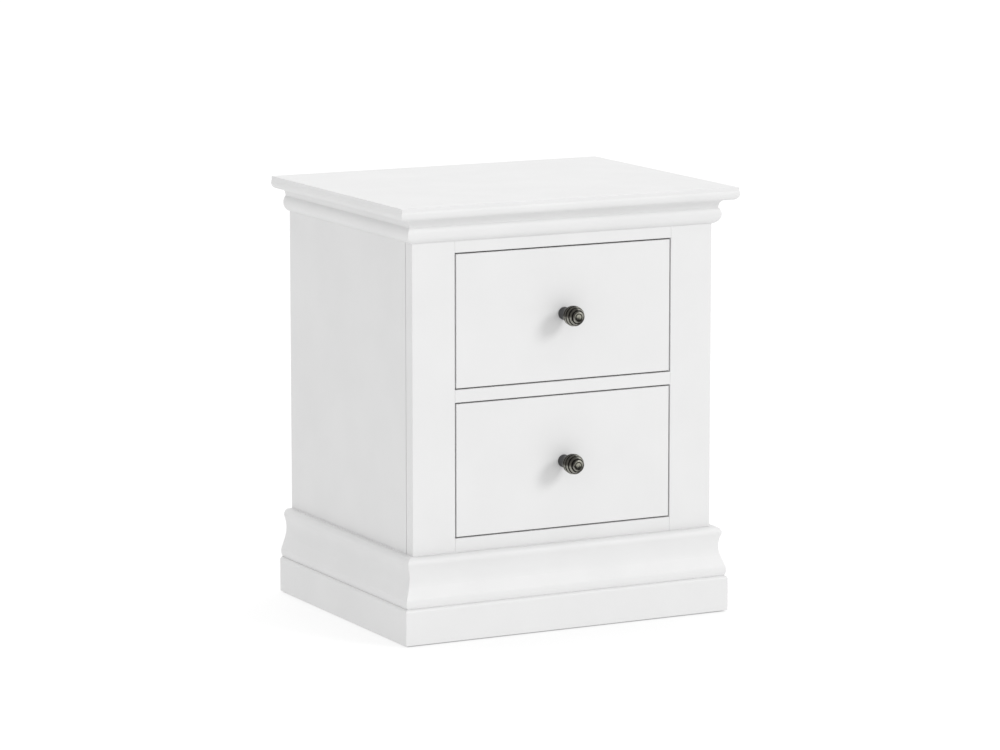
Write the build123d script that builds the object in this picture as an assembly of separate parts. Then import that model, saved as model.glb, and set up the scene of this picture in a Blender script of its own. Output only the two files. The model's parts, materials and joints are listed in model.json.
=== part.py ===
from build123d import *
import os
from math import cos, radians, sin, sqrt

# A bedside cabinet with two drawers, in millimetres. Z is up and the front looks along -Y.
# The pieces are drawn with y = 0 at the face frame's front, and save() moves them so that
# the whole cabinet, knobs included, is centred on the origin.

# overall sizes
body_width = 472.0
body_depth = 396.0
total_height = 610.0

# top board, its moulding and its fixings
top_thickness = 18.0
top_overhang = 29.0
top_fillet = 5.0
top_ease = 0.3
cornice_height = 34.5
cornice_bead = 10.0
cornice_neck = 6.5
cornice_flare = 13.0
cleat_size = 20.0

# plinth and base moulding
glide_height = 2.0
glide_radius = 10.0
glide_inset = 15.0
plinth_height = 50.5
plinth_thickness = 19.4
plinth_round = 5.0
plinth_back_thickness = 19.0
moulding_height = 70.0
moulding_top_bead = 13.1
moulding_cove = 9.1
moulding_low_bead = 17.6
moulding_foot = 15.6
corner_block_leg = 45.0
corner_block_height = 40.0

# face frame
frame_thickness = 19.0
stile_width = 66.0
middle_rail_height = 18.0
top_rail_reveal = 16.5
bottom_rail_reveal = 19.5
corner_ease = 1.4
joint_chamfer = 0.9
joint_line = 0.8
joint_line_depth = 2.5
edge_ease = 0.5

# carcass
side_thickness = 18.0
back_thickness = 6.0
rebate_depth = 10.0
housing_depth = 6.0
web_thickness = 18.0
web_front_depth = 41.0
web_back_depth = 60.0
runner_reach = 27.0
kicker_reach = 20.0
dust_thickness = 6.0
dust_groove = 8.0
panel_clearance = 0.5
guide_height = 18.0
stop_size = (40.0, 25.0, 8.0)
stop_centre = 80.0
stop_clearance = 0.2

# drawers
drawer_gap = 2.0
slide_clearance = 0.3
guide_clearance = 1.0
head_clearance = 4.0
rear_clearance = 20.0
front_thickness = 20.0
drawer_side_thickness = 12.0
drawer_back_thickness = 12.0
drawer_back_drop = 5.0
drawer_bottom_thickness = 6.0
groove_height = 11.0
groove_depth = 6.0
groove_play = 0.2
dovetail_lap = 6.0
dovetail_count = 5
dovetail_pin = 9.0
dovetail_slope = 0.16
half_pin = 6.0

# knobs, turned about the y axis
foot_radius = 9.1
foot_length = 3.0
neck_radius = 8.1
head_middle = 28.5
head_half_length = 15.5
head_radius = 13.0
ring_count = 6
ring_height = 1.45
ring_first_angle = -50.0
ring_last_angle = 70.0
button_height = 0.9

# fasteners
knob_screw_radius = 2.0
knob_screw_depth = 12.0
knob_hole_play = 0.3
thread_play = 0.05
washer_radius = 6.0
washer_thickness = 1.0
wood_screw_radius = 2.0
wood_screw_head = 4.0
wood_screw_bite = 12.0
wood_screw_count = 3
panel_screw_radius = 1.5
panel_screw_head = 3.5
panel_screw_head_height = 1.8
panel_screw_bite = 14.0
panel_screw_inset = 5.0
panel_screw_rows = 4
nail_radius = 1.2
nail_length = 15.0

# heights worked out from the sizes above
under_top = total_height - top_thickness
cornice_bottom = under_top - cornice_height
plinth_top = glide_height + plinth_height
moulding_top = plinth_top + moulding_height
lower_sill = moulding_top + bottom_rail_reveal
upper_lintel = cornice_bottom - top_rail_reveal
opening_height = (upper_lintel - lower_sill - middle_rail_height) / 2
lower_lintel = lower_sill + opening_height
upper_sill = lower_lintel + middle_rail_height

# distances from the middle and from the front, worked out from the sizes above
half_body = body_width / 2
inner_half = half_body - side_thickness
housed_half = inner_half + housing_depth
half_opening = half_body - stile_width
half_drawer = half_opening - drawer_gap
panel_front = body_depth - back_thickness
drawer_rear = panel_front - rear_clearance
web_front = frame_thickness + web_front_depth
web_back = panel_front - web_back_depth
runner_edge = half_opening - runner_reach
kicker_edge = half_opening - kicker_reach
head_end_angle = radians(ring_last_angle)
knob_reach = head_middle + head_half_length * sin(head_end_angle) + button_height
shift_back = (knob_reach - body_depth) / 2


def slab(x0, x1, y0, y1, z0, z1):
    """A board between two corners."""
    centre = ((x0 + x1) / 2, (y0 + y1) / 2, (z0 + z1) / 2)
    return Pos(*centre) * Box(x1 - x0, y1 - y0, z1 - z0)


def right_of(shape):
    """The same piece on the other side of the cabinet."""
    return mirror(shape, about=Plane.YZ)


def prism(points, z0, z1):
    """A straight prism over an outline given in plan."""
    outline = make_face(Polyline(*points, close=True))
    return Pos(0, 0, z0) * extrude(outline, amount=z1 - z0)


def rod(x, y, z, radius, length, direction):
    """A round bar that starts at a point and runs along a direction."""
    start = Plane(origin=(x, y, z), z_dir=direction)
    return start * Cylinder(radius, length, align=(Align.CENTER, Align.CENTER, Align.MIN))


def save(name, *pieces):
    """Write one node, moved so that the cabinet is centred on the origin."""
    moved = [Pos(0, shift_back, 0) * solid for piece in pieces for solid in piece.solids()]
    shape = moved[0] if len(moved) == 1 else Compound(children=moved)
    export_step(shape, f"parts/{name}.step")


def front_section(outline):
    """Stand an outline of (distance out, height) on the front, ready to run along X."""
    return Plane(origin=(0, 0, 0), x_dir=(0, -1, 0), z_dir=(-1, 0, 0)) * outline


def left_section(outline):
    """Stand an outline of (distance out, height) on the left side, ready to run along Y."""
    return Plane(origin=(-half_body, 0, 0), x_dir=(-1, 0, 0), z_dir=(0, 1, 0)) * outline


def mitred_runs(outline, reach):
    """Front, left and right lengths of one section, mitred at the two front corners."""
    wide = half_body + reach
    front_run = extrude(front_section(outline), amount=wide, both=True)
    front_plan = [(-half_body, 0), (-wide, -reach), (wide, -reach), (half_body, 0)]
    left_run = extrude(left_section(outline), amount=body_depth)
    left_run += extrude(left_section(outline), amount=-reach)
    left_plan = [(-half_body, 0), (-wide, -reach), (-wide, body_depth), (-half_body, body_depth)]
    front = front_run & prism(front_plan, 0, total_height)
    left = left_run & prism(left_plan, 0, total_height)
    return front, left, right_of(left)


def cornice_outline():
    """A bead with a cove above it, under the top board."""
    bead_middle = cornice_bottom + 0.34 * cornice_height
    neck = cornice_bottom + 0.67 * cornice_height
    cove_middle = cornice_bottom + 0.87 * cornice_height
    bead = ThreePointArc((0, cornice_bottom), (cornice_bead, bead_middle), (cornice_neck, neck))
    cove_out = cornice_neck + 0.27 * (cornice_flare - cornice_neck)
    cove = ThreePointArc((cornice_neck, neck), (cove_out, cove_middle), (cornice_flare, under_top))
    back = Polyline((cornice_flare, under_top), (0, under_top), (0, cornice_bottom))
    return make_face(bead + cove + back)


def base_outline():
    """A bead, a long hollow that runs straight out, and a lower bead that stands on the plinth."""
    low_bead_middle = (moulding_low_bead, plinth_top + 0.11 * moulding_height)
    low_bead_end = (moulding_low_bead - 0.5, plinth_top + 0.18 * moulding_height)
    hollow_start = (moulding_cove + 2.0, plinth_top + 0.42 * moulding_height)
    hollow_middle = (moulding_cove, plinth_top + 0.61 * moulding_height)
    top_bead_start = (moulding_top_bead - 0.7, plinth_top + 0.85 * moulding_height)
    top_bead_middle = (moulding_top_bead - 1.0, plinth_top + 0.93 * moulding_height)
    top_bead_end = (moulding_top_bead / 2, moulding_top)
    low_bead = ThreePointArc((moulding_foot, plinth_top), low_bead_middle, low_bead_end)
    slope = Line(low_bead_end, hollow_start)
    hollow = ThreePointArc(hollow_start, hollow_middle, top_bead_start)
    top_bead = ThreePointArc(top_bead_start, top_bead_middle, top_bead_end)
    back = Polyline(top_bead_end, (0, moulding_top), (0, plinth_top), (moulding_foot, plinth_top))
    return make_face(low_bead + slope + hollow + top_bead + back)


def plinth_outline():
    """A plain board with a rounded top outer edge."""
    shoulder = plinth_top - plinth_round
    shelf = plinth_thickness - plinth_round
    round_middle = (shelf + plinth_round * cos(radians(45)), shoulder + plinth_round * sin(radians(45)))
    board = Polyline((shelf, plinth_top), (0, plinth_top), (0, glide_height),
                     (plinth_thickness, glide_height), (plinth_thickness, shoulder))
    return make_face(board + ThreePointArc((plinth_thickness, shoulder), round_middle, (shelf, plinth_top)))


def nose_edge(tip, out):
    """The top board's moulded edge, from its underside to its face: a round nose under a flat step.
    The tip is how far the nose reaches, and out is 1 or -1, the way that it points."""
    radius = top_thickness / 2
    middle = total_height - radius
    step = tip - out * (radius - sqrt(radius**2 - (radius - top_fillet)**2))
    nose = ThreePointArc((tip - out * radius, under_top), (tip, middle), (step, total_height - top_fillet))
    flat = Line((step, total_height - top_fillet), (step, total_height - top_ease))
    ease = Line((step, total_height - top_ease), (step - out * top_ease, total_height))
    return nose + flat + ease


def top_panel():
    """The top board, with the same moulded edge on its front, left and right."""
    wide = half_body + top_overhang
    front_edge = nose_edge(top_overhang, 1)
    front_back = Polyline(front_edge @ 1, (-body_depth, total_height), (-body_depth, under_top), front_edge @ 0)
    along_x = extrude(front_section(make_face(front_edge + front_back)), amount=wide, both=True)
    left_edge, right_edge = nose_edge(-wide, -1), nose_edge(wide, 1)
    upper = Line(left_edge @ 1, right_edge @ 1)
    lower = Line(right_edge @ 0, left_edge @ 0)
    end_view = Plane(origin=(0, -top_overhang, 0), x_dir=(1, 0, 0), z_dir=(0, -1, 0))
    outline = end_view * make_face(left_edge + upper + right_edge + lower)
    along_y = extrude(outline, amount=-(body_depth + top_overhang))
    return along_x & along_y


def upright_edges(board, outer):
    """The upright edges of a left-hand board on its outer or inner face, front one first."""
    group = board.edges().filter_by(Axis.Z).group_by(Axis.X)[0 if outer else -1]
    return group.sort_by(Axis.Y)


def face_stile():
    """The left upright of the face frame, with its joint to the side eased."""
    stile = slab(-half_body, -half_opening, 0, frame_thickness, glide_height, under_top)
    stile = fillet(upright_edges(stile, outer=True)[0], corner_ease)
    stile = chamfer(upright_edges(stile, outer=True)[-1], joint_chamfer)
    return chamfer(upright_edges(stile, outer=False)[0], edge_ease)


def face_rail(low, high):
    """A rail of the face frame between the stiles, with eased front edges."""
    rail = slab(-half_opening, half_opening, 0, frame_thickness, low, high)
    return chamfer(rail.faces().sort_by(Axis.Y)[0].edges(), edge_ease)


def web_levels():
    """The height of each frame that carries a drawer."""
    return {"bottom": lower_sill, "middle": upper_sill}


def side_panel():
    """The left side, housed for the web frames and kickers, rebated for the back, and with a fine
    open line where it meets the face frame."""
    side = slab(-half_body, -inner_half, frame_thickness, body_depth, glide_height, under_top)
    side = chamfer(upright_edges(side, outer=True)[0], joint_chamfer)
    side -= slab(-half_body, -half_body + joint_line_depth, frame_thickness, frame_thickness + joint_line,
                 glide_height, under_top)
    for top in web_levels().values():
        side -= slab(-housed_half, -inner_half, frame_thickness, panel_front, top - web_thickness, top)
    side -= slab(-housed_half, -inner_half, frame_thickness, panel_front,
                 upper_lintel, upper_lintel + web_thickness)
    side -= slab(-inner_half - rebate_depth, -inner_half, panel_front, body_depth, plinth_top, under_top)
    return side


def groove_heights(top):
    """The lower and upper face of a web frame's groove."""
    low = top - (web_thickness + dust_thickness) / 2
    return low, low + dust_thickness


def web_front_rail(top):
    """The rail across the front of a web frame, grooved for the dust panel."""
    low, high = groove_heights(top)
    rail = slab(-housed_half, housed_half, frame_thickness, web_front, top - web_thickness, top)
    return rail - slab(-housed_half, housed_half, web_front - dust_groove, web_front, low, high)


def web_back_rail(top):
    """The rail across the back of a web frame, grooved for the dust panel."""
    low, high = groove_heights(top)
    rail = slab(-housed_half, housed_half, web_back, panel_front, top - web_thickness, top)
    return rail - slab(-housed_half, housed_half, web_back, web_back + dust_groove, low, high)


def runner(top):
    """The left runner, with a tongue at each end and a groove for the dust panel."""
    low, high = groove_heights(top)
    strip = slab(-housed_half, -runner_edge, web_front, web_back, top - web_thickness, top)
    strip -= slab(-runner_edge - dust_groove, -runner_edge, web_front, web_back, low, high)
    tongue = slab(-housed_half, -runner_edge - dust_groove,
                  web_front - dust_groove, web_back + dust_groove, low, high)
    return strip + tongue


def dust_panel(top):
    """The thin panel held in the grooves of a web frame."""
    low, high = groove_heights(top)
    half = runner_edge + dust_groove - panel_clearance
    front = web_front - dust_groove + panel_clearance
    back = web_back + dust_groove - panel_clearance
    return slab(-half, half, front, back, low, high)


def kicker():
    """The left strip that stops the upper drawer tipping as it is pulled out."""
    return slab(-housed_half, -kicker_edge, frame_thickness, panel_front,
                upper_lintel, upper_lintel + web_thickness)


def drawer_guide(sill):
    """The left strip that keeps a drawer straight."""
    inner = half_drawer + guide_clearance
    return slab(-inner_half, -inner, frame_thickness, panel_front, sill, sill + guide_height)


def drawer_stops():
    """Two blocks for each drawer, which its front shuts against."""
    width, length, height = stop_size
    front = front_thickness + stop_clearance
    blocks = []
    for sill in (lower_sill, upper_sill):
        for x in (-stop_centre, stop_centre):
            blocks.append(slab(x - width / 2, x + width / 2, front, front + length, sill, sill + height))
    return blocks


def screw_up(x, y, z, depth):
    """A countersunk screw driven up from z, with depth of shank above its head."""
    head = Pos(x, y, z + wood_screw_radius / 2) * Cone(
        wood_screw_head, wood_screw_radius, wood_screw_radius)
    return head + rod(x, y, z, wood_screw_radius, depth, (0, 0, 1))


def top_screw_places():
    """Where the cleats are screwed up into the top board."""
    inner = inner_half - cleat_size / 2
    span = panel_front - cleat_size - frame_thickness
    places = []
    for i in range(wood_screw_count):
        y = frame_thickness + span * (i + 0.5) / wood_screw_count
        places += [(-inner, y), (inner, y)]
    return places


def top_screws(play=0.0):
    """The screws through the cleats, or their holes when play is given."""
    screws = []
    for x, y in top_screw_places():
        screw = screw_up(x, y, under_top - cleat_size, cleat_size + wood_screw_bite)
        if play:
            screw += rod(x, y, under_top - cleat_size, wood_screw_radius + play,
                         cleat_size + wood_screw_bite + play, (0, 0, 1))
        screws.append(screw)
    return screws


def cleat():
    """The left strip that the top board is screwed through."""
    return slab(-inner_half, -inner_half + cleat_size, frame_thickness, panel_front - cleat_size,
                under_top - cleat_size, under_top)


def back_cleat():
    """The strip across the back, under the top board."""
    return slab(-inner_half, inner_half, panel_front - cleat_size, panel_front,
                under_top - cleat_size, under_top)


def back_screw_places():
    """Where the back panel is screwed to the edges of its rebates."""
    out = inner_half + panel_screw_inset
    places = []
    for i in range(panel_screw_rows):
        z = plinth_top + (under_top - plinth_top) * (i + 0.5) / panel_screw_rows
        places += [(-out, z), (out, z)]
    return places


def back_screws(play=0.0):
    """The countersunk screws of the back panel, or their holes when play is given."""
    length = back_thickness + panel_screw_bite
    screws = []
    for x, z in back_screw_places():
        shank = rod(x, body_depth, z, panel_screw_radius + play, length + play, (0, -1, 0))
        sink = Plane(origin=(x, body_depth - panel_screw_head_height / 2, z), z_dir=(0, 1, 0)) * Cone(
            panel_screw_radius + play, panel_screw_head, panel_screw_head_height)
        screws.append(shank + sink)
    return screws


def corner_blocks():
    """Four three-cornered blocks glued inside the plinth."""
    low = glide_height
    high = glide_height + corner_block_height
    plinth_back = body_depth - plinth_back_thickness
    front = prism([(-inner_half, frame_thickness),
                   (-inner_half + corner_block_leg, frame_thickness),
                   (-inner_half, frame_thickness + corner_block_leg)], low, high)
    back = prism([(-inner_half, plinth_back),
                  (-inner_half, plinth_back - corner_block_leg),
                  (-inner_half + corner_block_leg, plinth_back)], low, high)
    return [front, back, right_of(front), right_of(back)]


def floor_glides(play=0.0):
    """Four nailed glides under the corner blocks, or their nail holes when play is given."""
    x = inner_half - glide_inset
    rows = (frame_thickness + glide_inset, body_depth - plinth_back_thickness - glide_inset)
    glides = []
    for gx in (-x, x):
        for gy in rows:
            nail = rod(gx, gy, glide_height, nail_radius + play, nail_length + play, (0, 0, 1))
            if not play:
                disc = rod(gx, gy, 0, glide_radius, glide_height, (0, 0, 1))
                nail += fillet(disc.edges().sort_by(Axis.Z)[0], glide_height / 2)
            glides.append(nail)
    return glides


def dovetails(low, high, root, tip):
    """A row of tails in side view, each wider at its tip, between two heights."""
    pitch = (high - low - 2 * half_pin + dovetail_pin) / dovetail_count
    spread = dovetail_slope * abs(tip - root)
    tails = []
    for i in range(dovetail_count):
        bottom = low + half_pin + i * pitch
        top = bottom + pitch - dovetail_pin
        corners = [(root, bottom + spread), (tip, bottom), (tip, top), (root, top - spread)]
        outline = Plane.YZ * make_face(Polyline(*corners, close=True))
        left = Pos(-half_drawer, 0, 0) * extrude(outline, amount=drawer_side_thickness)
        tails.append(left)
    return tails


def drawer_levels(sill):
    """The heights that a drawer's boards share."""
    foot = sill + slide_clearance
    panel = foot + groove_height
    return {
        "foot": foot,
        "front_low": sill + drawer_gap,
        "front_high": sill + opening_height - drawer_gap,
        "side_high": sill + opening_height - head_clearance,
        "panel_low": panel,
        "panel_high": panel + drawer_bottom_thickness,
        "back_high": sill + opening_height - head_clearance - drawer_back_drop,
    }


def drawer_side_blank(level):
    """The left drawer side with its tails, before it is grooved."""
    back_root = drawer_rear - drawer_back_thickness
    side = slab(-half_drawer, -half_drawer + drawer_side_thickness,
                front_thickness, back_root, level["foot"], level["side_high"])
    for tail in dovetails(level["front_low"], level["side_high"], front_thickness, dovetail_lap):
        side += tail
    for tail in dovetails(level["panel_high"], level["back_high"], back_root, drawer_rear):
        side += tail
    return side


def drawer_groove(level):
    """The groove that holds the drawer bottom in its sides and front."""
    half = half_drawer - drawer_side_thickness + groove_depth
    return slab(-half, half, front_thickness - groove_depth, drawer_rear,
                level["panel_low"], level["panel_high"] + groove_play)


def drawer_bottom(level):
    """The thin bottom, which slides in under the drawer back."""
    half = half_drawer - drawer_side_thickness + groove_depth - groove_play
    return slab(-half, half, front_thickness - groove_depth + groove_play, drawer_rear,
                level["panel_low"], level["panel_high"])


def drawer_front(level, blank, knob_height):
    """The drawer front, socketed for the sides, grooved and bored for its knob."""
    board = slab(-half_drawer, half_drawer, 0, front_thickness, level["front_low"], level["front_high"])
    board = chamfer(board.faces().sort_by(Axis.Y)[0].edges(), edge_ease)
    board = board - blank - right_of(blank) - drawer_groove(level)
    return board - rod(0, 0, knob_height, knob_screw_radius + knob_hole_play, front_thickness, (0, 1, 0))


def drawer_back(level, blank):
    """The drawer back, which stands on the drawer bottom."""
    board = slab(-half_drawer, half_drawer, drawer_rear - drawer_back_thickness, drawer_rear,
                 level["panel_high"], level["back_high"])
    return board - blank - right_of(blank)


def bottom_screws(level, play=0.0):
    """Two screws from under the drawer bottom into the back, or their holes."""
    y = drawer_rear - drawer_back_thickness / 2
    length = drawer_bottom_thickness + panel_screw_bite
    screws = []
    for x in (-half_drawer / 2, half_drawer / 2):
        shank = rod(x, y, level["panel_low"], panel_screw_radius + play, length + play, (0, 0, 1))
        if not play:
            shank += rod(x, y, level["panel_low"], panel_screw_head, panel_screw_head_height, (0, 0, -1))
        screws.append(shank)
    return screws


def knob_point(angle, bulge=0.0):
    """A point on the knob's head, as (radius, distance in front of the drawer)."""
    radius = (head_radius + bulge) * cos(radians(angle))
    return radius, head_middle + (head_half_length + bulge) * sin(radians(angle))


def knob(height):
    """A turned knob with a foot, a neck and a head of raised rings, bored for its screw."""
    step = (ring_last_angle - ring_first_angle) / ring_count
    foot_edge = (foot_radius, foot_length / 2)
    foot_middle = (foot_radius - 0.3 * (foot_radius - neck_radius), foot_length)
    neck_start = (neck_radius, 1.5 * foot_length)
    head_start = knob_point(ring_first_angle)
    neck_middle = (neck_radius - 0.3, (neck_start[1] + head_start[1]) / 2)
    rim = knob_point(ring_last_angle)
    button_edge = (rim[0] - button_height, knob_reach)
    outline = Polyline(rim, button_edge, (0, knob_reach), (0, 0), (foot_radius, 0), foot_edge)
    outline += ThreePointArc(foot_edge, foot_middle, neck_start)
    outline += ThreePointArc(neck_start, neck_middle, head_start)
    for i in range(ring_count):
        start = ring_first_angle + i * step
        crest = knob_point(start + step / 2, ring_height)
        outline += ThreePointArc(knob_point(start), crest, knob_point(start + step))
    turned = revolve(Plane.XZ * make_face(outline), axis=Axis.Z)
    bore = rod(0, 0, 0, knob_screw_radius + thread_play, knob_screw_depth, (0, 0, 1))
    return Plane(origin=(0, 0, height), z_dir=(0, -1, 0)) * (turned - bore)


def knob_screw(height):
    """The screw and washer that hold a knob from inside the drawer."""
    washer = rod(0, front_thickness, height, washer_radius, washer_thickness, (0, 1, 0))
    shank_start = front_thickness + washer_thickness
    length = shank_start + knob_screw_depth - 1
    shank = rod(0, shank_start, height, knob_screw_radius, length, (0, -1, 0))
    head = rod(0, shank_start, height, 2 * knob_screw_radius, 1.3 * knob_screw_radius, (0, 1, 0))
    return washer + shank + fillet(head.edges().sort_by(Axis.Y)[-1], 0.8 * knob_screw_radius)


def save_top():
    top = top_panel()
    for hole in top_screws(thread_play):
        top -= hole
    save("top_panel", top)
    front, left, right = mitred_runs(cornice_outline(), cornice_flare)
    save("cornice_front", front)
    save("cornice_left", left)
    save("cornice_right", right)
    left_cleat = cleat()
    for hole in top_screws(thread_play):
        left_cleat -= hole
    save("top_cleat_left", left_cleat)
    save("top_cleat_right", right_of(left_cleat))
    save("top_cleat_back", back_cleat())
    save("top_screws", *top_screws())


def save_base():
    front, left, right = mitred_runs(base_outline(), moulding_low_bead)
    save("base_moulding_front", front)
    save("base_moulding_left", left)
    save("base_moulding_right", right)
    front, left, right = mitred_runs(plinth_outline(), plinth_thickness)
    save("plinth_front", front)
    save("plinth_left", left)
    save("plinth_right", right)
    save("plinth_back", slab(-inner_half, inner_half, body_depth - plinth_back_thickness,
                             body_depth, glide_height, plinth_top))
    blocks = corner_blocks()
    for hole in floor_glides(thread_play):
        blocks = [block - hole for block in blocks]
    save("corner_blocks", *blocks)
    save("floor_glides", *floor_glides())


def save_carcass():
    save("stile_left", face_stile())
    save("stile_right", right_of(face_stile()))
    save("top_rail", face_rail(upper_lintel, under_top))
    save("bottom_rail", face_rail(plinth_top, lower_sill))
    save("middle_rail", face_rail(lower_lintel, upper_sill) + web_front_rail(upper_sill))
    save("bottom_web_rail", web_front_rail(lower_sill))
    side = side_panel()
    for hole in back_screws(thread_play):
        side -= hole
    save("side_left", side)
    save("side_right", right_of(side))
    for name, top in web_levels().items():
        save(f"{name}_runner_left", runner(top))
        save(f"{name}_runner_right", right_of(runner(top)))
        save(f"{name}_back_rail", web_back_rail(top))
        save(f"{name}_dust_panel", dust_panel(top))
    for name, sill in (("lower", lower_sill), ("upper", upper_sill)):
        save(f"{name}_guide_left", drawer_guide(sill))
        save(f"{name}_guide_right", right_of(drawer_guide(sill)))
    save("kicker_left", kicker())
    save("kicker_right", right_of(kicker()))
    save("drawer_stops", *drawer_stops())
    half_back = inner_half + rebate_depth
    back = slab(-half_back, half_back, panel_front, body_depth, plinth_top, under_top)
    for hole in back_screws(thread_play):
        back -= hole
    save("back_panel", back)
    save("back_screws", *back_screws())


def save_drawer(name, sill):
    level = drawer_levels(sill)
    knob_height = (level["front_low"] + level["front_high"]) / 2
    blank = drawer_side_blank(level)
    side = blank - drawer_groove(level)
    bottom = drawer_bottom(level)
    back = drawer_back(level, blank)
    for hole in bottom_screws(level, thread_play):
        bottom -= hole
        back -= hole
    save(f"{name}_drawer_front", drawer_front(level, blank, knob_height))
    save(f"{name}_drawer_side_left", side)
    save(f"{name}_drawer_side_right", right_of(side))
    save(f"{name}_drawer_back", back)
    save(f"{name}_drawer_bottom", bottom)
    save(f"{name}_drawer_bottom_screws", *bottom_screws(level))
    save(f"{name}_knob", knob(knob_height))
    save(f"{name}_knob_screw", knob_screw(knob_height))


os.makedirs("parts", exist_ok=True)
save_top()
save_base()
save_carcass()
save_drawer("upper", upper_sill)
save_drawer("lower", lower_sill)
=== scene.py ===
import json
import math

import bpy
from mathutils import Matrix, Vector


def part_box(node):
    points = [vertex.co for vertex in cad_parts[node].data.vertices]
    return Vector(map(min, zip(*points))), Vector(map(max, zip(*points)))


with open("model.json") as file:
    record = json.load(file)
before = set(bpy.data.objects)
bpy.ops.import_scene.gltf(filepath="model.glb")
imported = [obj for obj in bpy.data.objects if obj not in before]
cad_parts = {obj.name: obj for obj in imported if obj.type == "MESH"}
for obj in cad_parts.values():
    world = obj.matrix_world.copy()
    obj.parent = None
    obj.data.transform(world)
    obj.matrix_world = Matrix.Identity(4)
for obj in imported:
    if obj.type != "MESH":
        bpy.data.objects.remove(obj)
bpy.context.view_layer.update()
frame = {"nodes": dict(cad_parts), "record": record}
nodes = frame["nodes"]
print("frame loaded,", len(nodes), "nodes")

mm = 0.001


def linearColour(hexText):  # sRGB hex to the linear values that a shader takes
    values = [int(hexText[i:i + 2], 16) / 255 for i in (1, 3, 5)]
    return tuple(v / 12.92 if v <= 0.04045 else ((v + 0.055) / 1.055) ** 2.4 for v in values) + (1.0,)


def addNode(tree, kind, settings=None, inputs=None):  # inputs hold plain values or another node's socket
    node = tree.nodes.new(kind)
    for name, value in (settings or {}).items():
        setattr(node, name, value)
    for name, value in (inputs or {}).items():
        if isinstance(value, bpy.types.NodeSocket):
            tree.links.new(value, node.inputs[name])
        else:
            node.inputs[name].default_value = value
    return node


def directionFrom(azimuth, elevation):  # degrees; azimuth 0 is straight in front, and positive to the right
    turn, lift = math.radians(azimuth), math.radians(elevation)
    return Vector((math.sin(turn) * math.cos(lift), -math.cos(turn) * math.cos(lift), math.sin(lift)))


# ---- camera: a long lens at the cabinet's front left, a little above it
cameraSet = {
    "azimuth": -27.38,
    "elevation": 9.42,
    "distance": 6.491,
    "lens": 163.5,
    "sensorWidth": 36.0,
    "clip": (0.1, 200.0),
    "aim": (-0.005, 0.008, 0.332),
}


def makeCamera(s):
    back = directionFrom(s["azimuth"], s["elevation"])
    data = bpy.data.cameras.new("camera")
    data.lens = s["lens"]
    data.sensor_width = s["sensorWidth"]
    data.clip_start, data.clip_end = s["clip"]
    camera = bpy.data.objects.new("camera", data)
    camera.location = Vector(s["aim"]) + back * s["distance"]
    camera.rotation_euler = (-back).to_track_quat("-Z", "Y").to_euler()
    bpy.context.scene.collection.objects.link(camera)
    bpy.context.scene.camera = camera


makeCamera(cameraSet)
print("camera placed")


# ---- studio: a white floor that glows faintly, a pale sky and three soft lights
studio = {
    "floorSize": 60.0,
    "floorColour": "#969696",
    "floorRoughness": 0.9,
    "floorGlow": 0.69,
    "glowEdge": (9 * mm, 1 * mm),  # how far in under the plinth the glow has stopped, and begins to fade
    "skyLow": 1.0,
    "skyHigh": 0.7,
    "skyRise": (0.1, 0.35),  # the heights between which the sky dims, as the sine of the elevation
    "lights": {  # where each light stands, how soft it is in degrees, and its power
        "key": {"azimuth": 38.0, "elevation": 26.0, "angle": 20.0, "power": 1.12},
        "overhead": {"azimuth": 165.0, "elevation": 76.0, "angle": 40.0, "power": 1.2},
        "fill": {"azimuth": -72.0, "elevation": 14.0, "angle": 50.0, "power": 0.165},
    },
}


def makeFloor(s):
    half = s["floorSize"] / 2
    corners = [(-half, -half, 0), (half, -half, 0), (half, half, 0), (-half, half, 0)]
    mesh = bpy.data.meshes.new("floor")
    mesh.from_pydata(corners, [], [(0, 1, 2, 3)])
    floor = bpy.data.objects.new("floor", mesh)
    bpy.context.scene.collection.objects.link(floor)
    material = bpy.data.materials.new("mattWhiteFloor")
    material.use_nodes = True
    tree = material.node_tree
    tree.nodes.clear()
    # the glow stops under the plinth, so that a thin contact shadow stays along its foot
    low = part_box("plinth_left")[0]
    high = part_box("plinth_right")[1]
    middle, reach = (low + high) / 2, (high - low) / 2
    place = addNode(tree, "ShaderNodeNewGeometry").outputs["Position"]
    offset = addNode(tree, "ShaderNodeVectorMath", {"operation": "SUBTRACT"}, {0: place, 1: middle})
    apart = addNode(tree, "ShaderNodeVectorMath", {"operation": "ABSOLUTE"}, {0: offset.outputs[0]})
    beyond = addNode(tree, "ShaderNodeVectorMath", {"operation": "SUBTRACT"}, {0: apart.outputs[0], 1: reach})
    split = addNode(tree, "ShaderNodeSeparateXYZ", inputs={0: beyond.outputs[0]})
    outside = addNode(tree, "ShaderNodeMath", {"operation": "MAXIMUM"}, {
        0: split.outputs["X"], 1: split.outputs["Y"]})
    glow = addNode(tree, "ShaderNodeMapRange", {"clamp": True}, {
        "Value": outside.outputs[0], "From Min": -s["glowEdge"][0], "From Max": -s["glowEdge"][1],
        "To Min": 0.0, "To Max": s["floorGlow"]})
    shader = addNode(tree, "ShaderNodeBsdfPrincipled", inputs={
        "Base Color": linearColour(s["floorColour"]), "Roughness": s["floorRoughness"],
        "Specular IOR Level": 0.0, "Emission Color": (1, 1, 1, 1), "Emission Strength": glow.outputs["Result"]})
    addNode(tree, "ShaderNodeOutputMaterial", inputs={"Surface": shader.outputs[0]})
    mesh.materials.append(material)


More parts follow.
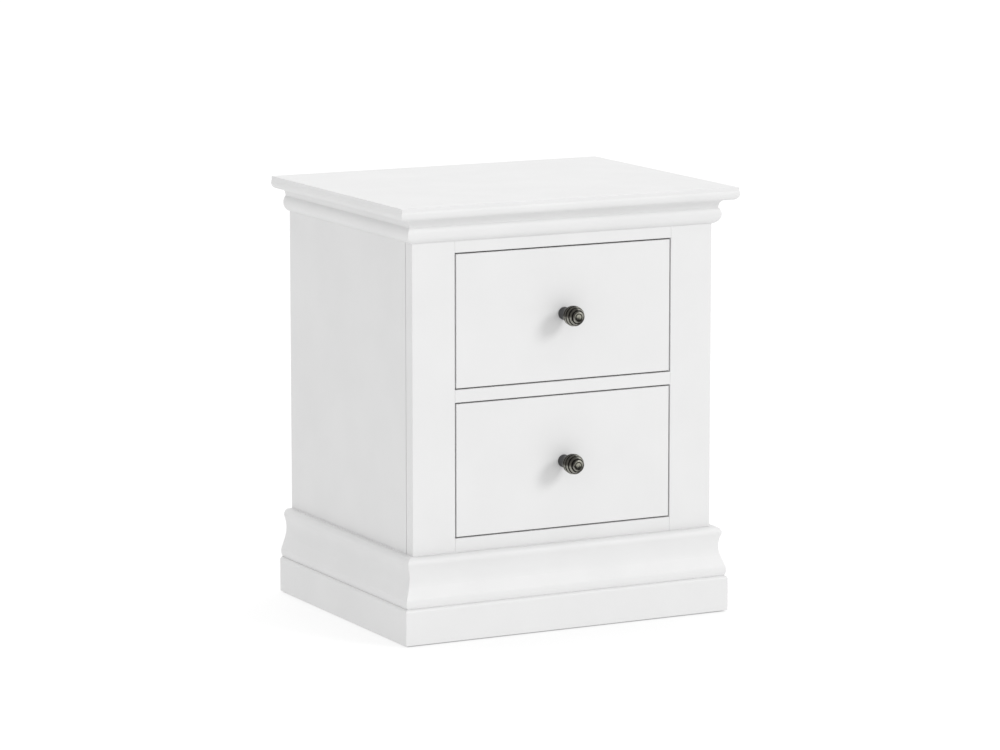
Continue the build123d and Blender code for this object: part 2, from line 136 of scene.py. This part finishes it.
def makeSky(s):
    world = bpy.data.worlds.new("studio")
    bpy.context.scene.world = world
    world.use_nodes = True
    tree = world.node_tree
    tree.nodes.clear()
    way = addNode(tree, "ShaderNodeTexCoord").outputs["Generated"]
    height = addNode(tree, "ShaderNodeSeparateXYZ", inputs={0: way}).outputs["Z"]
    strength = addNode(tree, "ShaderNodeMapRange", {"clamp": True, "interpolation_type": "SMOOTHSTEP"}, {
        "Value": height, "From Min": s["skyRise"][0], "From Max": s["skyRise"][1],
        "To Min": s["skyLow"], "To Max": s["skyHigh"]})
    sky = addNode(tree, "ShaderNodeBackground", inputs={
        "Color": (1, 1, 1, 1), "Strength": strength.outputs["Result"]})
    addNode(tree, "ShaderNodeOutputWorld", inputs={"Surface": sky.outputs[0]})


def makeLights(s):
    for name, light in s["lights"].items():
        data = bpy.data.lights.new(name, "SUN")
        data.energy = light["power"]
        data.angle = math.radians(light["angle"])
        lamp = bpy.data.objects.new(name, data)
        toLight = directionFrom(light["azimuth"], light["elevation"])
        lamp.rotation_euler = toLight.to_track_quat("Z", "Y").to_euler()
        bpy.context.scene.collection.objects.link(lamp)


makeFloor(studio)
makeSky(studio)
makeLights(studio)
bpy.context.scene.view_settings.view_transform = "Standard"
print("studio built")


# ---- materials: each slot of the record gets one finish
# in a Mix node for colours, socket 0 is the amount, 6 and 7 are the two colours, and output 2 is the mix
waveRepeat = math.pi / 10  # a wave texture of scale 1 repeats at this distance


# an empty material, and a point's place on its own piece, so that patterns travel with a drawer
def startMaterial(name):
    material = bpy.data.materials.new(name)
    material.use_nodes = True
    tree = material.node_tree
    tree.nodes.clear()
    place = addNode(tree, "ShaderNodeTexCoord").outputs["Object"]
    return material, tree, place


# sprayed white lacquer on primed wood: an even satin white, with faint clouds in its thickness
# and an orange peel so fine that it only softens the sheen
lacquerSet = {
    "colour": "#dbdbdb",
    "thinner": "#d9d9d9",
    "cloudSize": 90 * mm,
    "cloudRange": (0.35, 0.65),  # the noise values between which a cloud goes from none to full
    "glossRange": (0.3, 0.7),
    "gloss": (0.46, 0.54),
    "peelSize": 2.4 * mm,  # really about 0.8 mm, drawn coarser so that it shows at all
    "peelDepth": 0.012 * mm,
    "ior": 1.5,
}


def sprayedWhiteLacquer(s):
    material, tree, place = startMaterial("sprayedWhiteLacquer")
    clouds = addNode(tree, "ShaderNodeTexNoise", inputs={
        "Vector": place, "Scale": 1 / s["cloudSize"], "Detail": 3.0})
    patches = addNode(tree, "ShaderNodeMapRange", inputs={
        "Value": clouds.outputs[0], "From Min": s["cloudRange"][0], "From Max": s["cloudRange"][1]})
    colour = addNode(tree, "ShaderNodeMix", {"data_type": "RGBA"}, {
        0: patches.outputs[0], 6: linearColour(s["colour"]), 7: linearColour(s["thinner"])}).outputs[2]
    rough = addNode(tree, "ShaderNodeMapRange", inputs={
        "Value": clouds.outputs[0], "From Min": s["glossRange"][0], "From Max": s["glossRange"][1],
        "To Min": s["gloss"][0], "To Max": s["gloss"][1]})
    peel = addNode(tree, "ShaderNodeTexNoise", inputs={
        "Vector": place, "Scale": 1 / s["peelSize"], "Detail": 1.0})
    bump = addNode(tree, "ShaderNodeBump", inputs={
        "Height": peel.outputs[0], "Distance": s["peelDepth"], "Strength": 1.0})
    shader = addNode(tree, "ShaderNodeBsdfPrincipled", inputs={
        "Base Color": colour, "Roughness": rough.outputs[0], "IOR": s["ior"], "Normal": bump.outputs[0]})
    addNode(tree, "ShaderNodeOutputMaterial", inputs={"Surface": shader.outputs[0]})
    return material


# thin paint rolled on fibreboard: a flatter white with upright passes and a roller's stipple
rolledSet = {
    "colour": "#dbdad8",
    "low": "#d2d1ce",
    "passesPerMetre": (30.0, 30.0, 3.0),  # passes about 33 mm wide and ten times as long, all upright
    "stippleSize": 4.0 * mm,  # really about 1 mm, drawn coarser so that it shows
    "stippleDepth": 0.12 * mm,
    "roughness": 0.62,
    "ior": 1.5,
}


def rolledWhitePaint(s):
    material, tree, place = startMaterial("rolledWhitePaint")
    stipple = addNode(tree, "ShaderNodeTexNoise", inputs={
        "Vector": place, "Scale": 1 / s["stippleSize"], "Detail": 4.0, "Roughness": 0.6})
    drawn = addNode(tree, "ShaderNodeMapping", {"vector_type": "POINT"}, {
        "Vector": place, "Scale": s["passesPerMetre"]})
    passes = addNode(tree, "ShaderNodeTexNoise", inputs={
        "Vector": drawn.outputs[0], "Scale": 1.0, "Detail": 2.0})
    colour = addNode(tree, "ShaderNodeMix", {"data_type": "RGBA"}, {
        0: passes.outputs[0], 6: linearColour(s["colour"]), 7: linearColour(s["low"])}).outputs[2]
    bump = addNode(tree, "ShaderNodeBump", inputs={
        "Height": stipple.outputs[0], "Distance": s["stippleDepth"], "Strength": 1.0})
    shader = addNode(tree, "ShaderNodeBsdfPrincipled", inputs={
        "Base Color": colour, "Roughness": s["roughness"], "IOR": s["ior"], "Normal": bump.outputs[0]})
    addNode(tree, "ShaderNodeOutputMaterial", inputs={"Surface": shader.outputs[0]})
    return material


# planed wood, sawn from one log: growth rings round the log's heart, which stray and fade along a
# board, and fine fibres. The pattern runs through the solid, so the ends show end grain
birchSet = {
    "early": "#e5d2b2",
    "late": "#d2b68b",
    "fibre": "#ba976a",
    "heart": (0 * mm, 300 * mm),  # where the log's heart runs, in the two directions across the grain
    "boardShift": (0.7, 0.9, 0.8),  # the most that one board's pattern is shifted against another's
    "ringWidth": 3.6 * mm,
    "ringProfile": "SIN",
    "ringShare": (0.12, 0.72),  # how strongly a ring shows, where it fades and where it doesn't
    "fadeRange": (0.35, 0.65),
    "fadeScale": 2.6,  # how many times finer the fading is than the straying
    "wander": 26 * mm,  # how far a ring strays along a board
    "wanderLength": 520 * mm,
    "wanderWidth": 75 * mm,
    "fibreWidth": 1.1 * mm,  # really 0.1 mm, drawn coarser so that it shows
    "fibreLength": 45 * mm,
    "fibreShare": 0.4,
    "fibreRange": (0.45, 0.75),
    "fibreDepth": 0.04 * mm,
    "roughness": 0.38,  # under clear lacquer
    "ior": 1.5,
}

# birch plywood for the drawer bottoms: the wide figure of peeled veneer, and layers on its edges
plySet = birchSet | {
    "early": "#e8d7b8",
    "late": "#d6bb92",
    "heart": (-20 * mm, -260 * mm),
    "ringWidth": 9.0 * mm,
    "wanderLength": 300 * mm,
    "wanderWidth": 90 * mm,
    "fibreShare": 0.35,
    "plyThickness": 1.5 * mm,
    "edgeSlope": (0.3, 0.6),  # a face steeper than this counts as a sawn edge
    "edgeShare": 0.7,
}

# planed pine: narrow, sharply edged rings in a warmer yellow, left bare and so duller
pineSet = birchSet | {
    "early": "#e6cda0",
    "late": "#c79a62",
    "fibre": "#b08350",
    "heart": (140 * mm, 12 * mm),
    "ringWidth": 2.6 * mm,
    "ringProfile": "SAW",
    "ringShare": (0.3, 0.85),
    "wander": 9 * mm,
    "wanderLength": 600 * mm,
    "wanderWidth": 40 * mm,
    "fibreShare": 0.3,
    "roughness": 0.58,
}


def grainWood(name, s, along):  # along is 0, 1 or 2, the way that the grain runs
    material, tree, own = startMaterial(name)
    luck = addNode(tree, "ShaderNodeObjectInfo").outputs["Random"]  # each board from another place in the log
    shift = addNode(tree, "ShaderNodeVectorMath", {"operation": "SCALE"}, {0: s["boardShift"], "Scale": luck})
    heart = list(s["heart"])
    heart.insert(along, 0.0)
    place = addNode(tree, "ShaderNodeVectorMath", {"operation": "SUBTRACT"}, {0: own, 1: heart})

    sizes = [s["wanderWidth"]] * 3
    sizes[along] = s["wanderLength"]
    slow = addNode(tree, "ShaderNodeMapping", {"vector_type": "POINT"}, {
        "Vector": place.outputs[0], "Location": shift.outputs[0], "Scale": [1 / v for v in sizes]})
    sway = addNode(tree, "ShaderNodeTexNoise", inputs={
        "Vector": slow.outputs[0], "Scale": 1.0, "Detail": 4.0, "Roughness": 0.55})
    centred = addNode(tree, "ShaderNodeVectorMath", {"operation": "SUBTRACT"}, {
        0: sway.outputs["Color"], 1: (0.5, 0.5, 0.5)})
    stray = addNode(tree, "ShaderNodeVectorMath", {"operation": "SCALE"}, {
        0: centred.outputs[0], "Scale": s["wander"]})
    swayed = addNode(tree, "ShaderNodeVectorMath", {"operation": "ADD"}, {
        0: place.outputs[0], 1: stray.outputs[0]})
    rings = addNode(tree, "ShaderNodeTexWave", {
        "wave_type": "RINGS", "rings_direction": "XYZ"[along], "wave_profile": s["ringProfile"]}, {
        "Vector": swayed.outputs[0], "Scale": waveRepeat / s["ringWidth"], "Distortion": 0.8,
        "Detail": 2.0, "Detail Scale": 1.5})
    fade = addNode(tree, "ShaderNodeTexNoise", inputs={
        "Vector": slow.outputs[0], "Scale": s["fadeScale"], "Detail": 1.0})
    ringShow = addNode(tree, "ShaderNodeMapRange", inputs={
        "Value": fade.outputs[0], "From Min": s["fadeRange"][0], "From Max": s["fadeRange"][1],
        "To Min": s["ringShare"][0], "To Max": s["ringShare"][1]})
    ringShare = addNode(tree, "ShaderNodeMath", {"operation": "MULTIPLY"}, {
        0: rings.outputs[0], 1: ringShow.outputs[0]})
    ringed = addNode(tree, "ShaderNodeMix", {"data_type": "RGBA"}, {
        0: ringShare.outputs[0], 6: linearColour(s["early"]), 7: linearColour(s["late"])}).outputs[2]

    thin = [s["fibreWidth"]] * 3
    thin[along] = s["fibreLength"]
    drawn = addNode(tree, "ShaderNodeMapping", {"vector_type": "POINT"}, {
        "Vector": place.outputs[0], "Location": shift.outputs[0], "Scale": [1 / v for v in thin]})
    fibres = addNode(tree, "ShaderNodeTexNoise", inputs={
        "Vector": drawn.outputs[0], "Scale": 1.0, "Detail": 3.0, "Roughness": 0.55})
    fibreShare = addNode(tree, "ShaderNodeMapRange", inputs={
        "Value": fibres.outputs[0], "From Min": s["fibreRange"][0], "From Max": s["fibreRange"][1],
        "To Max": s["fibreShare"]})
    colour = addNode(tree, "ShaderNodeMix", {"data_type": "RGBA"}, {
        0: fibreShare.outputs[0], 6: ringed, 7: linearColour(s["fibre"])}).outputs[2]

    if "plyThickness" in s:  # the sawn edges show the veneers, every other one darker
        layers = addNode(tree, "ShaderNodeTexWave", {"wave_type": "BANDS", "bands_direction": "Z"}, {
            "Vector": own, "Scale": waveRepeat / (2 * s["plyThickness"]), "Distortion": 0.0})
        normal = addNode(tree, "ShaderNodeNewGeometry").outputs["Normal"]
        facing = addNode(tree, "ShaderNodeSeparateXYZ", inputs={0: normal}).outputs["Z"]
        level = addNode(tree, "ShaderNodeMath", {"operation": "ABSOLUTE"}, {0: facing})
        sawn = addNode(tree, "ShaderNodeMapRange", inputs={
            "Value": level.outputs[0], "From Min": s["edgeSlope"][0], "From Max": s["edgeSlope"][1],
            "To Min": s["edgeShare"], "To Max": 0.0})
        stripe = addNode(tree, "ShaderNodeMath", {"operation": "MULTIPLY"}, {
            0: layers.outputs[0], 1: sawn.outputs[0]})
        colour = addNode(tree, "ShaderNodeMix", {"data_type": "RGBA"}, {
            0: stripe.outputs[0], 6: colour, 7: linearColour(s["fibre"])}).outputs[2]

    bump = addNode(tree, "ShaderNodeBump", inputs={
        "Height": fibres.outputs[0], "Distance": s["fibreDepth"], "Strength": 1.0})
    shader = addNode(tree, "ShaderNodeBsdfPrincipled", inputs={
        "Base Color": colour, "Roughness": s["roughness"], "IOR": s["ior"], "Normal": bump.outputs[0]})
    addNode(tree, "ShaderNodeOutputMaterial", inputs={"Surface": shader.outputs[0]})
    return material


# cast pewter, blackened and then rubbed: nearly black in the hollows and worn bright on the ring crests, with a
# soft broken sheen.
# Two opposite quarters of the head and the button's upper right carry a painted highlight, the other quarters
# and the button's lower side painted shade
pewterSet = {
    "hollow": "#1b1a18",
    "neck": "#555556",
    "crest": "#999890",
    # the darker crest colour below is painted shade in two quarters of the head
    "paintedShadeCrest": "#4d4b46",
    "button": "#a1a095",
    # the darker button colour below is painted shade on the button's lower side
    "paintedShadeButton": "#2f2e2b",
    "headMiddle": 28.5 * mm,  # how far the head's middle stands from the drawer
    "headHalfLength": 15.5 * mm,
    "headRadius": 13.0 * mm,
    "ringHeight": 1.45 * mm,
    "crestWear": (0.065, 0.012),  # how far below a crest the wear begins and is full, in head radii
    "neckFrom": (0.015, 0.09),  # how far outside the head the neck's colour begins and is full, likewise
    "buttonDepth": (0.006, 0.016),  # how far back the button's colour goes, in knob lengths
    "paintedLightQuarters": (-0.025, 0.035),  # where two opposite quarters of the head go from painted shade to painted highlight
    "paintedHighlightTowards": (0.3, 0.0, 0.95),  # the button's upper side, a little to the right, carries a painted highlight
    "paintedHighlightRange": (-0.1, 0.07),
    "blotchSize": 3.5 * mm,
    "blotchRange": (0.3, 0.7),
    "crestBlotches": (-0.022, 0.018),  # how much the blotches move the edge of the wear
    "buttonBlotches": (-0.07, 0.07),
    "castGrain": 0.9 * mm,
    "castDepth": 0.09 * mm,
    "hollowRoughness": 0.62,
    "crestRoughness": 0.34,
}


def blackenedPewter(s, knob):
    material, tree, place = startMaterial("blackenedPewter")
    low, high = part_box(knob)
    size = high - low
    inBox = addNode(tree, "ShaderNodeTexCoord").outputs["Generated"]  # 0 to 1 across the knob, alike on both
    # how far out a point is against the plain oval of the head: 1 on the oval, more on a ring's crest
    middle = (0.5, 1 - s["headMiddle"] / size.y, 0.5)
    ovalScale = (size.x / s["headRadius"], size.y / s["headHalfLength"], size.z / s["headRadius"])
    crestTop = 1 + s["ringHeight"] / s["headRadius"]
    away = addNode(tree, "ShaderNodeVectorMath", {"operation": "SUBTRACT"}, {0: inBox, 1: middle})
    scaled = addNode(tree, "ShaderNodeVectorMath", {"operation": "MULTIPLY"}, {
        0: away.outputs[0], 1: ovalScale})
    oval = addNode(tree, "ShaderNodeVectorMath", {"operation": "LENGTH"}, {
        0: scaled.outputs[0]}).outputs["Value"]

    # the crests are worn unevenly, and two opposite quarters of the head get a painted highlight, the other two
    # painted shade
    blotches = addNode(tree, "ShaderNodeTexNoise", inputs={
        "Vector": place, "Scale": 1 / s["blotchSize"], "Detail": 3.0, "Roughness": 0.6})
    patchy = addNode(tree, "ShaderNodeMapRange", inputs={
        "Value": blotches.outputs[0], "From Min": s["blotchRange"][0], "From Max": s["blotchRange"][1],
        "To Min": s["crestBlotches"][0], "To Max": s["crestBlotches"][1]})
    worn = addNode(tree, "ShaderNodeMath", {"operation": "ADD"}, {0: oval, 1: patchy.outputs[0]})
    rubbed = addNode(tree, "ShaderNodeMapRange", {"interpolation_type": "SMOOTHSTEP"}, {
        "Value": worn.outputs[0],
        "From Min": crestTop - s["crestWear"][0], "From Max": crestTop - s["crestWear"][1]})
    sides = addNode(tree, "ShaderNodeSeparateXYZ", inputs={0: away.outputs[0]})
    quarter = addNode(tree, "ShaderNodeMath", {"operation": "MULTIPLY"}, {
        0: sides.outputs["X"], 1: sides.outputs["Z"]})
    paintedLightQuarter = addNode(tree, "ShaderNodeMapRange", {"interpolation_type": "SMOOTHSTEP"}, {
        "Value": quarter.outputs[0], "From Min": s["paintedLightQuarters"][0], "From Max": s["paintedLightQuarters"][1]})
    crest = addNode(tree, "ShaderNodeMix", {"data_type": "RGBA"}, {
        0: paintedLightQuarter.outputs[0], 6: linearColour(s["paintedShadeCrest"]), 7: linearColour(s["crest"])}).outputs[2]

    # the button has a painted highlight on its upper right side and painted shade on its lower side
    lean = addNode(tree, "ShaderNodeVectorMath", {"operation": "DOT_PRODUCT"}, {
        0: away.outputs[0], 1: s["paintedHighlightTowards"]}).outputs["Value"]
    uneven = addNode(tree, "ShaderNodeMapRange", inputs={
        "Value": blotches.outputs[0], "From Min": s["blotchRange"][0], "From Max": s["blotchRange"][1],
        "To Min": s["buttonBlotches"][0], "To Max": s["buttonBlotches"][1]})
    leaning = addNode(tree, "ShaderNodeMath", {"operation": "ADD"}, {0: lean, 1: uneven.outputs[0]})
    paintedHighlight = addNode(tree, "ShaderNodeMapRange", {"interpolation_type": "SMOOTHSTEP"}, {
        "Value": leaning.outputs[0], "From Min": s["paintedHighlightRange"][0], "From Max": s["paintedHighlightRange"][1]})
    button = addNode(tree, "ShaderNodeMix", {"data_type": "RGBA"}, {
        0: paintedHighlight.outputs[0], 6: linearColour(s["paintedShadeButton"]), 7: linearColour(s["button"])}).outputs[2]

    onNeck = addNode(tree, "ShaderNodeMapRange", {"interpolation_type": "SMOOTHSTEP"}, {
        "Value": oval, "From Min": crestTop + s["neckFrom"][0], "From Max": crestTop + s["neckFrom"][1]})
    depth = addNode(tree, "ShaderNodeSeparateXYZ", inputs={0: inBox}).outputs["Y"]
    onButton = addNode(tree, "ShaderNodeMapRange", inputs={
        "Value": depth, "From Min": s["buttonDepth"][0], "From Max": s["buttonDepth"][1],
        "To Min": 1.0, "To Max": 0.0})
    colour = addNode(tree, "ShaderNodeMix", {"data_type": "RGBA"}, {
        0: rubbed.outputs[0], 6: linearColour(s["hollow"]), 7: crest}).outputs[2]
    colour = addNode(tree, "ShaderNodeMix", {"data_type": "RGBA"}, {
        0: onNeck.outputs[0], 6: colour, 7: linearColour(s["neck"])}).outputs[2]
    colour = addNode(tree, "ShaderNodeMix", {"data_type": "RGBA"}, {
        0: onButton.outputs[0], 6: colour, 7: button}).outputs[2]
    rough = addNode(tree, "ShaderNodeMapRange", inputs={
        "Value": rubbed.outputs[0], "To Min": s["hollowRoughness"], "To Max": s["crestRoughness"]})
    grain = addNode(tree, "ShaderNodeTexNoise", inputs={
        "Vector": place, "Scale": 1 / s["castGrain"], "Detail": 2.0})
    bump = addNode(tree, "ShaderNodeBump", inputs={
        "Height": grain.outputs[0], "Distance": s["castDepth"], "Strength": 1.0})
    shader = addNode(tree, "ShaderNodeBsdfPrincipled", inputs={
        "Base Color": colour, "Metallic": 1.0, "Roughness": rough.outputs[0], "Normal": bump.outputs[0]})
    addNode(tree, "ShaderNodeOutputMaterial", inputs={"Surface": shader.outputs[0]})
    return material


# bright zinc plate on steel screws: a cool silver with faint straw tints and a broken sheen
zincSet = {
    "silver": "#b4b7bb",
    "straw": "#b9b39b",
    "tintSize": 5 * mm,
    "pitSize": 0.8 * mm,
    "pitDepth": 0.03 * mm,
    "pitRange": (0.3, 0.7),
    "roughness": (0.26, 0.42),
}


def zincPlatedSteel(s):
    material, tree, place = startMaterial("zincPlatedSteel")
    tint = addNode(tree, "ShaderNodeTexNoise", inputs={
        "Vector": place, "Scale": 1 / s["tintSize"], "Detail": 2.0})
    colour = addNode(tree, "ShaderNodeMix", {"data_type": "RGBA"}, {
        0: tint.outputs[0], 6: linearColour(s["silver"]), 7: linearColour(s["straw"])}).outputs[2]
    pits = addNode(tree, "ShaderNodeTexNoise", inputs={
        "Vector": place, "Scale": 1 / s["pitSize"], "Detail": 2.0})
    rough = addNode(tree, "ShaderNodeMapRange", inputs={
        "Value": pits.outputs[0], "From Min": s["pitRange"][0], "From Max": s["pitRange"][1],
        "To Min": s["roughness"][0], "To Max": s["roughness"][1]})
    bump = addNode(tree, "ShaderNodeBump", inputs={
        "Height": pits.outputs[0], "Distance": s["pitDepth"], "Strength": 1.0})
    shader = addNode(tree, "ShaderNodeBsdfPrincipled", inputs={
        "Base Color": colour, "Metallic": 1.0, "Roughness": rough.outputs[0], "Normal": bump.outputs[0]})
    addNode(tree, "ShaderNodeOutputMaterial", inputs={"Surface": shader.outputs[0]})
    return material


# moulded nylon glides: a milky, slightly waxy off-white with the mould's fine texture
nylonSet = {
    "colour": "#d9d6cc",
    "flow": "#cdc9bd",
    "flowSize": 8 * mm,
    "textureSize": 0.7 * mm,
    "textureDepth": 0.04 * mm,
    "roughness": 0.48,
    "ior": 1.53,
}


def mouldedNylon(s):
    material, tree, place = startMaterial("mouldedNylon")
    flow = addNode(tree, "ShaderNodeTexNoise", inputs={
        "Vector": place, "Scale": 1 / s["flowSize"], "Detail": 1.0})
    colour = addNode(tree, "ShaderNodeMix", {"data_type": "RGBA"}, {
        0: flow.outputs[0], 6: linearColour(s["colour"]), 7: linearColour(s["flow"])}).outputs[2]
    texture = addNode(tree, "ShaderNodeTexVoronoi", inputs={"Vector": place, "Scale": 1 / s["textureSize"]})
    bump = addNode(tree, "ShaderNodeBump", inputs={
        "Height": texture.outputs[0], "Distance": s["textureDepth"], "Strength": 1.0})
    shader = addNode(tree, "ShaderNodeBsdfPrincipled", inputs={
        "Base Color": colour, "Roughness": s["roughness"], "IOR": s["ior"], "Normal": bump.outputs[0]})
    addNode(tree, "ShaderNodeOutputMaterial", inputs={"Surface": shader.outputs[0]})
    return material


finishes = {
    "white_paint": sprayedWhiteLacquer(lacquerSet),
    "painted_board": rolledWhitePaint(rolledSet),
    "antique_pewter": blackenedPewter(pewterSet, "upper_knob"),
    "steel": zincPlatedSteel(zincSet),
    "nylon": mouldedNylon(nylonSet),
}
woods = {
    "drawer_birch": ("lacqueredBirch", birchSet),
    "birch_plywood": ("lacqueredBirchPlywood", plySet),
    "pine": ("planedPine", pineSet),
}
wayNames = ["Across", "Deep", "Upright"]


# a board's grain runs along its longest side, but plywood, blocks and stops have it across
def finishFor(name, slot):
    if slot not in woods:
        return finishes[slot]
    low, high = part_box(name)
    size = high - low
    way = max(range(3), key=lambda i: size[i])
    if slot == "birch_plywood" or "blocks" in name or "stops" in name:
        way = 0
    if (slot, way) not in finishes:
        woodName, woodSet = woods[slot]
        finishes[slot, way] = grainWood(woodName + wayNames[way], woodSet, way)
    return finishes[slot, way]


for part in frame["record"]["subparts"]:
    piece = nodes[part["node"]]
    piece.data.materials.clear()
    piece.data.materials.append(finishFor(part["node"], part["material_slot"]))
print("materials set")
